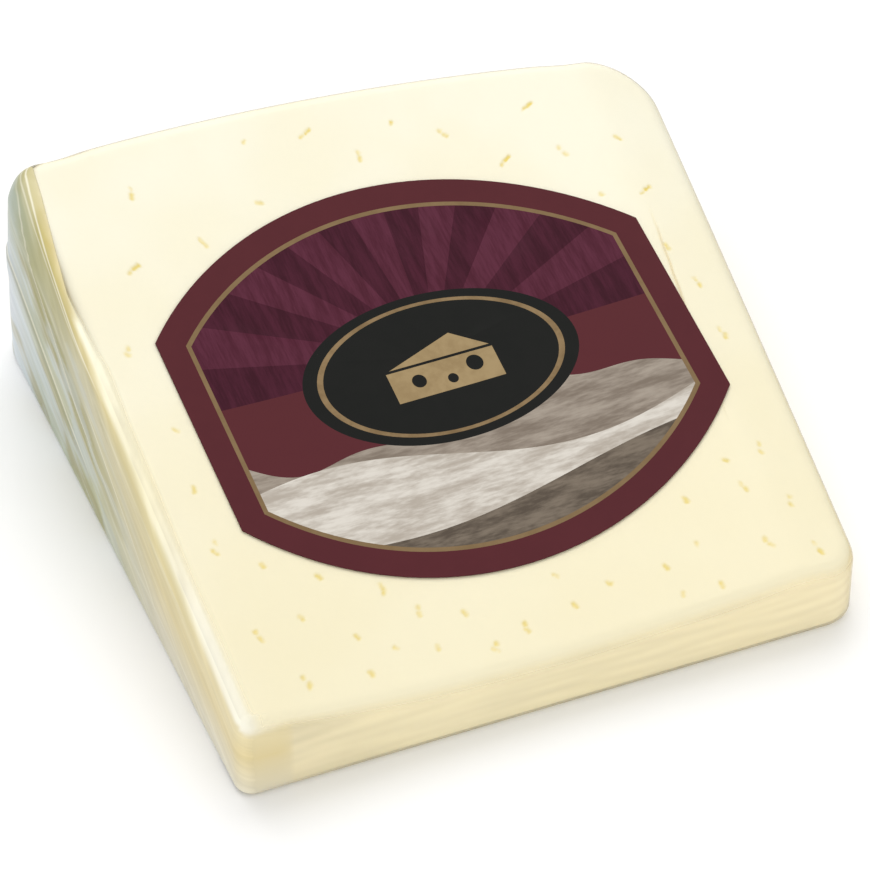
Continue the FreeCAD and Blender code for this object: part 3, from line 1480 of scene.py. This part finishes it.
    def lift(self, skin: Skin, at: Wall, wave: Array) -> Array:
        """Find how far the film stands off its form.

        Args:
            skin: The film's surface.
            at: Where its points lie.
            wave: Noise of the slack film.

        Returns:
            The heights in millimetres.
        """
        on_wall = smooth(2.3, 1.5, skin.inset)
        held = smooth(0.0, 3.0, at.fall) * smooth(0.0, 2.0, skin.points[..., 2])
        room = np.clip(at.part, 0.05, 1)
        flat = smooth(0.85, 0.98, -skin.outward[:, 0])[None, :]
        pleated = sum(pleat.height(at.part, at.fall) for pleat in self.every_pleat())
        lift = pleated * (0.3 + 0.7 * room) + (0.4 * wave - self.slack) * room * flat
        left = skin.left[None, :]
        return (lift * left + 0.02 * wave * (1 - left)) * on_wall * held

    def build(self, material: Material, box: tuple[Vector, Vector]) -> Piece:
        """Make the film with its pleats.

        Args:
            material: The film's finish.
            box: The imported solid's box, in metres, which the film keeps to.

        Returns:
            The finished piece.
        """
        skin = self.form.skin(self.fineness)
        at, points = self.measure(skin.points), skin.points
        brim = self.brim(skin, at)
        wave = self.ripple(skin, at.fall, 0.035, 2.4, 3.1)
        stain = self.patches(points, 0.034, 0.12, 0.0)
        body = self.gathered(at, self.ripple(skin, at.fall, 0.05, 5.0, 8.7), stain,
                             self.patches(points, 0.05, 0.17, 7.3))
        points[..., :2] += skin.outward * self.lift(skin, at, wave)[..., None]
        # painted highlight: a soft band of pale cream veil along the near half of the left
        # crest
        ridge = (np.exp(-((at.past + 1.3) / 1.9) ** 2) * (skin.inset < 3.5)
                 * smooth(0.02, 0.1, at.part) * smooth(0.36, 0.14, at.part))
        upright = 1 - smooth(0.0, 1.2, skin.inset)
        from_left = self.from_left(points)
        tip_wall = smooth(-0.2, -0.8, skin.outward[:, 1])[None, :] * upright
        rim_wall = smooth(0.1, 0.8, skin.outward[:, 1])[None, :] * upright
        veil = ((0.2 + 0.15 * tip_wall) * upright
                + 0.4 * tip_wall * np.exp(-(from_left / 14) ** 2)
                + 0.75 * rim_wall * np.exp(-(from_left / 9) ** 2))
        brim = brim - 4 * (rim_wall * smooth(2, 8, from_left))
        left = np.maximum(smooth(-1.5, -0.5, brim), smooth(0.0, 0.1, ridge))
        strip = graded(from_left, (0, 50, 95), TIP_STRIP)
        strip = strip * (1 + 0.16 * self.ripple(skin, at.fall, 0.09, 30.0, 5.2)[..., None])
        strip = lay_over(strip, body, rim_wall * smooth(12, 5, from_left))
        body = np.clip(lay_over(strip, body, left), 0, 0.98)
        crumple = np.clip(0.3 * left + 0.2 * ridge + 0.1 * upright + 0.03, 0, 0.5)
        low, high = (np.array(corner) / MM for corner in box)
        np.clip(points, low + self.edge, high - self.edge, out=points)
        # the veil holds the film's haze and the painted highlight along the crest
        mesh = skin.mesh("film", {
            "brim": brim, "veil": np.maximum(veil, 0.5 * ridge), "fall": at.fall,
            "part": at.part, "crumple": crumple,
            "relief": stain * left + 0.35 * wave}, body)
        mesh.materials.append(material)
        return new_object("film", mesh)


# --- Label


class Field(Enum):
    """The label's printed fields, in the order of their materials."""

    BORDER = 0
    KEYLINE = 1
    SKY = 2
    RAY = 3
    BAND = 4
    FAR_HILL = 5
    MID_HILL = 6
    NEAR_HILL = 7
    SEAL = 8
    RING = 9
    WEDGE = 10


@dataclass(frozen=True)
class BarrelShape:
    """The label's outline: straight sides, arched top and bottom, in millimetres."""

    width: float = 77.6
    height: float = 66.6
    side: float = 32.4
    turn: float = 3.6
    middle_x: float = 1.182
    middle_y: float = -3.098

    @property
    def arch(self) -> float:
        """Radius of the top and bottom arcs."""
        rise = (self.height - self.side) / 2
        return ((self.width / 2) ** 2 + rise ** 2) / (2 * rise)

    def depth(self, u: float, v: float) -> float:
        """How far inside the outline a place on the label is."""
        to_arch = self.arch - math.hypot(u, abs(v) + self.arch - self.height / 2)
        return min(self.width / 2 - abs(u), to_arch)

    def covers(self, x: float, y: float, grown: float) -> bool:
        """Tell whether the label, grown by a share, lies over a place."""
        u, v = self.turned(x - self.middle_x, y - self.middle_y, -self.turn)
        return self.depth(u / grown, v / grown) > 0

    @staticmethod
    def turned(u: float, v: float, degrees: float) -> Place:
        """Turn a place about the middle."""
        a = math.radians(degrees)
        return u * math.cos(a) - v * math.sin(a), u * math.sin(a) + v * math.cos(a)

    def on_piece(self, u: float, v: float) -> Place:
        """A place on the piece from one on the label."""
        x, y = self.turned(u, v, self.turn)
        return self.middle_x + x, self.middle_y + y

    def line(self, inset: float, steps: int = 48) -> list[Place]:
        """Draw the outline moved inwards.

        Args:
            inset: How far it is moved.
            steps: Points on each arc.

        Returns:
            A closed line.
        """
        radius, drop = self.arch - inset, self.arch - self.height / 2
        edge = math.asin((self.width / 2 - inset) / radius)
        arc = [(radius * math.sin(a), radius * math.cos(a) - drop)
               for a in np.linspace(-edge, edge, steps)]
        return arc + [(-u, -v) for u, v in arc]


@dataclass(frozen=True)
class Hill:
    """Upper line of a printed hill, in millimetres."""

    height: float
    swell: float
    length: float
    phase: float
    ripple: float = 0.0
    ripple_length: float = 3.7

    def line(self, u: float) -> float:
        """Height of the line at a place across the label."""
        return (self.height + self.swell * math.sin(u / self.length + self.phase)
                + self.ripple * math.sin(u / self.ripple_length))


HILLS = {Field.NEAR_HILL: Hill(-21.5, 2.8, 15.0, 5.6),
         Field.MID_HILL: Hill(-13.5, 3.4, 12.5, 3.4),
         Field.FAR_HILL: Hill(-7.0, 3.2, 9.0, 0.6, 1.3)}


@dataclass
class Drawing:
    """Lines that the label's fields are cut along."""

    points: list[Vector] = field(default_factory=list)
    edges: list[tuple[int, int]] = field(default_factory=list)

    def line(self, places: Sequence[Place]) -> None:
        """Add an open line.

        Args:
            places: Its points.
        """
        first = len(self.points)
        self.points.extend(Vector(p) for p in places)
        self.edges.extend((first + i, first + i + 1) for i in range(len(places) - 1))

    def ring(self, places: Sequence[Place]) -> None:
        """Add a closed line."""
        self.line(places)
        self.edges.append((len(self.points) - 1, len(self.points) - len(places)))

    def oval(self, u: float, v: float, wide: float, tall: float, steps: int) -> None:
        """Add an oval about a place."""
        self.ring([(u + wide * math.cos(a), v + tall * math.sin(a))
                   for a in np.linspace(0, 2 * math.pi, steps + 1)[:-1]])


@dataclass
class Label:
    """The paper label with a plain country design."""

    shape: BarrelShape = field(default_factory=BarrelShape)
    border: float = 4.1
    keyline: float = 0.7
    horizon: float = 3.0
    medal_width: float = 43.0
    medal_height: float = 25.0
    medal_v: float = 1.0
    ring_gap: float = 1.3
    ring: float = 0.55
    rays: int = 15
    ray_length: float = 48.0
    wedge_half: float = 8.5
    wedge_base: float = -4.2
    wedge_shoulder: float = 1.2
    groove: float = 0.22
    grid: float = 2.5
    grid_margin: float = 0.8
    paper: float = 0.22
    rise: float = 0.27

    def medal(self, u: float, v: float) -> float:
        """How far inside the medallion's edge a place is, along its short way."""
        a, b = self.medal_width / 2, self.medal_height / 2
        return (1 - math.hypot(u / a, (v - self.medal_v) / b)) * b

    def wedge(self) -> list[Place]:
        """Outline of the small wedge of cheese on the medallion."""
        half, v, top = self.wedge_half, self.medal_v, self.medal_v + self.wedge_shoulder
        return [(-half, v + self.wedge_base), (half, v + self.wedge_base), (half, top),
                (3.2, v + 5.0), (-half, top)]

    def holes(self) -> list[tuple[float, float, float]]:
        """Middle and radius of the wedge's holes."""
        v = self.medal_v
        return [(-4.2, v - 1.4, 1.1), (0.8, v - 2.4, 0.8), (4.9, v - 0.9, 1.3)]

    def on_medal(self, u: float, v: float) -> Field:
        """Tell which field a place on the medallion belongs to.

        Args:
            u: Place across the label.
            v: Place up it.

        Returns:
            The field.
        """
        if self.ring_gap < self.medal(u, v) < self.ring_gap + self.ring:
            return Field.RING
        outline = self.wedge()
        inside = False
        for (u0, v0), (u1, v1) in zip(outline, outline[1:] + outline[:1]):
            if (v0 > v) != (v1 > v) and u < (u1 - u0) * (v - v0) / (v1 - v0) + u0:
                inside = not inside
        groove = abs(v - (self.medal_v + self.wedge_shoulder)) < self.groove
        hole = any(math.hypot(u - a, v - b) < r for a, b, r in self.holes())
        return Field.WEDGE if inside and not hole and not groove else Field.SEAL

    def which(self, u: float, v: float) -> Field:
        """Tell which field a place on the label belongs to.

        Args:
            u: Place across the label.
            v: Place up it.

        Returns:
            The field.
        """
        depth = self.shape.depth(u, v)
        if depth < self.border:
            return Field.BORDER
        if depth < self.border + self.keyline:
            return Field.KEYLINE
        if self.medal(u, v) > 0:
            return self.on_medal(u, v)
        for name, hill in HILLS.items():
            if v < hill.line(u):
                return name
        if v < self.horizon:
            return Field.BAND
        turn = math.atan2(v - self.horizon, u) / math.pi * self.rays
        return Field.RAY if int(turn) % 2 else Field.SKY

    def drawing(self) -> Drawing:
        """Draw every line of the design, with a grid of points between them.

        Returns:
            The drawing.
        """
        lines = Drawing()
        for inset in (0.0, self.border, self.border + self.keyline):
            lines.ring(self.shape.line(inset))
        for inset in (0.0, self.ring_gap, self.ring_gap + self.ring):
            k = 1 - inset / (self.medal_height / 2)
            lines.oval(0.0, self.medal_v, k * self.medal_width / 2,
                       k * self.medal_height / 2, 96)
        lines.ring(self.wedge())
        for side in (-self.groove, self.groove):
            v = self.medal_v + self.wedge_shoulder + side
            lines.line([(-self.wedge_half, v), (self.wedge_half, v)])
        for u, v, r in self.holes():
            lines.oval(u, v, r, r, 24)
        span = np.linspace(-self.shape.width / 2, self.shape.width / 2, 90)
        for hill in reversed(HILLS.values()):
            lines.line([(u, hill.line(u)) for u in span])
        lines.line([(u, self.horizon) for u in span])
        for k in range(1, self.rays):
            a, r = math.pi * k / self.rays, self.ray_length
            lines.line([(0.0, self.horizon),
                        (r * math.cos(a), self.horizon + r * math.sin(a))])
        for u in np.arange(-38, 38.1, self.grid):
            for v in np.arange(-33, 33.1, self.grid):
                if self.shape.depth(u, v) > self.grid_margin:
                    lines.points.append(Vector((u, v)))
        return lines

    def build(self, form: WedgeForm, inks: dict[Field, Material]) -> Piece:
        """Make the printed label lying on the film.

        Args:
            form: The film's form, whose upper face the label lies on.
            inks: The finish of each field.

        Returns:
            The finished piece.
        """
        lines, nearest = self.drawing(), 1e-5
        flat, _, faces, *_ = geometry.delaunay_2d_cdt(lines.points, lines.edges, [], 0,
                                                      nearest)
        kept = []
        for face in faces:
            c = sum((flat[i] for i in face), Vector((0, 0))) / len(face)
            if self.shape.depth(c.x, c.y) > 0:
                kept.append((face, self.which(c.x, c.y).value))
        used = sorted({i for face, _ in kept for i in face})
        number = {old: new for new, old in enumerate(used)}
        points = []
        for i in used:
            x, y = self.shape.on_piece(*flat[i])
            z = float(form.top(np.array(x), np.array(y))) + self.rise
            points.append((x * MM, y * MM, z * MM))
        mesh = bpy.data.meshes.new("label_print")
        mesh.from_pydata(points, [], [[number[i] for i in face] for face, _ in kept])
        for material in inks.values():
            mesh.materials.append(material)
        mesh.polygons.foreach_set("material_index", [m for _, m in kept])
        mesh.polygons.foreach_set("use_smooth", [True] * len(kept))
        lie = [c / MAP_UNIT for face, _ in kept for i in face for c in flat[i]]
        mesh.uv_layers.new(name="lie").data.foreach_set("uv", lie)
        sheet = new_object("label_sheet", mesh)
        wall = sheet.modifiers.new("paper", "SOLIDIFY")
        wall.thickness, wall.offset = self.paper * MM, -1.0
        paper = applied(sheet, "label_paper")
        paper.set_sharp_from_angle(angle=math.radians(40))
        return new_object("label_paper", paper)


def label_inks(effects: Effects) -> dict[Field, Material]:
    """Make the finish of each printed field.

    Args:
        effects: The shared groups.

    Returns:
        A material for each field, in the fields' order.
    """
    burgundy, deep = linear(84, 37, 42), linear(78, 34, 39)
    gold, stone = linear(120, 98, 68), linear(160, 149, 136)
    finishes = {
        Field.BORDER: PrintFinish("ink_burgundy", burgundy, deep),
        Field.KEYLINE: PrintFinish("ink_gold", gold, linear(134, 111, 80), 2, 2, 0.6),
        Field.SKY: PrintFinish("ink_plum", linear(56, 18, 31), linear(78, 31, 48),
                               7.0, 0.9, 0.7),
        Field.RAY: PrintFinish("ink_plum_light", linear(72, 27, 42), linear(94, 44, 62),
                               7.0, 0.9, 0.7),
        Field.BAND: PrintFinish("ink_wine", linear(86, 38, 43), burgundy),
        Field.FAR_HILL: PrintFinish("ink_stone", linear(122, 110, 98),
                                    linear(168, 157, 144), 0.8, 4.0, 0.8),
        Field.MID_HILL: PrintFinish("ink_wool", linear(212, 206, 196), stone,
                                    1.0, 4.5, 0.8),
        Field.NEAR_HILL: PrintFinish("ink_sepia", linear(84, 74, 64),
                                     linear(128, 116, 102), 1.2, 5.0, 0.8),
        Field.SEAL: PrintFinish("ink_black", linear(24, 25, 23), linear(29, 29, 27)),
        Field.RING: PrintFinish("ink_gold_ring", gold, linear(152, 128, 94), 2, 2, 0.6),
        Field.WEDGE: PrintFinish("ink_gold_wedge", linear(146, 124, 88),
                                 linear(164, 142, 104), 2, 2, 0.7),
    }
    return {key: finish.make(effects) for key, finish in finishes.items()}


# --- Studio


@dataclass
class Studio:
    """Floor, lamps, world and camera."""

    aim: Vector = field(default_factory=lambda: Vector((0.606, -3.226, 0.0)) * MM)
    distance: float = 0.7483
    azimuth: float = -20.49
    elevation: float = 46.17
    lens: float = 206.9
    sensor: float = 36.0
    clip: Place = (0.05, 20.0)
    shift: Place = (-0.0071, 0.0502)
    world: float = 0.78
    key: float = 10.5
    fill: float = 4.7
    floor_half: float = 4.0
    floor_colour: Colour = (0.97, 0.97, 0.97)
    sky_colour: Colour = (0.985, 0.99, 1.0)

    def camera(self) -> None:
        """Place the camera and look through it."""
        data = bpy.data.cameras.new("camera")
        data.lens, data.sensor_width = self.lens, self.sensor
        data.shift_x, data.shift_y = self.shift
        data.clip_start, data.clip_end = self.clip
        eye = bpy.data.objects.new("camera", data)
        bpy.context.scene.collection.objects.link(eye)
        a, e = math.radians(self.azimuth), math.radians(self.elevation)
        back = Vector((math.sin(a) * math.cos(e), -math.cos(a) * math.cos(e), math.sin(e)))
        side = Vector((math.cos(a), math.sin(a), 0))
        turn = Matrix((side, back.cross(side), back)).transposed().to_4x4()
        eye.matrix_world = Matrix.Translation(self.aim + back * self.distance) @ turn
        bpy.context.scene.camera = eye

    def lamp(self, name: str, place: Vector, size: float, power: float,
             colour: Colour) -> None:
        """Place a soft square lamp that faces the piece.

        Args:
            name: Name of the lamp.
            place: Where it stands, in metres.
            size: Length of its sides, in metres.
            power: Its power in watts.
            colour: Colour of its light.
        """
        data = bpy.data.lights.new(name, "AREA")
        data.size, data.energy, data.color = size, power, colour
        lamp = bpy.data.objects.new(name, data)
        lamp.location = place
        lamp.rotation_euler = (-place).to_track_quat("-Z", "Y").to_euler()
        bpy.context.scene.collection.objects.link(lamp)

    def floor(self) -> None:
        """Lay the pale floor."""
        mesh = bpy.data.meshes.new("floor")
        corners = [(-1, -1), (1, -1), (1, 1), (-1, 1)]
        half = self.floor_half
        mesh.from_pydata([(x * half, y * half, 0) for x, y in corners], [], [(0, 1, 2, 3)])
        material, s = new_material("pale_floor")
        body = s.add("ShaderNodeBsdfDiffuse", {"Color": (*self.floor_colour, 1.0)})
        s.add("ShaderNodeOutputMaterial", {0: body.outputs[0]})
        mesh.materials.append(material)
        floor = new_object("floor", mesh)

    def sky(self) -> None:
        """Light the piece from all round, before a white background."""
        world = bpy.data.worlds.new("studio")
        bpy.context.scene.world = world
        world.use_nodes = True
        world.node_tree.nodes.clear()
        s = Sheet(world.node_tree)
        seen = s.add("ShaderNodeLightPath").outputs["Is Camera Ray"]
        strength = s.math("MULTIPLY_ADD", seen, 1.0 - self.world, self.world)
        sky = s.add("ShaderNodeBackground", {"Color": (*self.sky_colour, 1.0),
                                             "Strength": strength})
        s.add("ShaderNodeOutputWorld", {0: sky.outputs[0]})

    def build(self) -> None:
        """Set up the whole studio."""
        self.camera()
        self.floor()
        self.lamp("key_lamp", Vector((0.1, 0.75, 1.3)), 1.2, self.key, (1.0, 0.99, 0.97))
        self.lamp("fill_lamp", Vector((-0.1, -1.3, 0.35)), 1.0, self.fill, (1.0, 1.0, 1.0))
        self.sky()
        bpy.context.scene.view_settings.view_transform = "Standard"


def claim(piece: Piece, node: str) -> None:
    """Make a piece ride on the body and stand for a node.

    Args:
        piece: The piece.
        node: Name of the node that it stands for.
    """
    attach(piece, "root")
    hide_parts(node)
    LOG.info("%s: %d faces", piece.name, len(piece.data.polygons))


def main() -> None:
    """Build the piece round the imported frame."""
    logging.basicConfig(level=logging.INFO, format="%(message)s")
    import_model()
    Studio().build()
    effects = Effects()
    label, film = Label(), Film()
    claim(Cheese().build(label, PasteFinish().make(effects)), "wrapped_cheese")
    claim(film.build(FilmFinish().make(effects, film.pleats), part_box("wrapped_cheese")),
          "wrapped_cheese")
    claim(label.build(WedgeForm(), label_inks(effects)), "label")


if __name__ == "__main__":
    main()
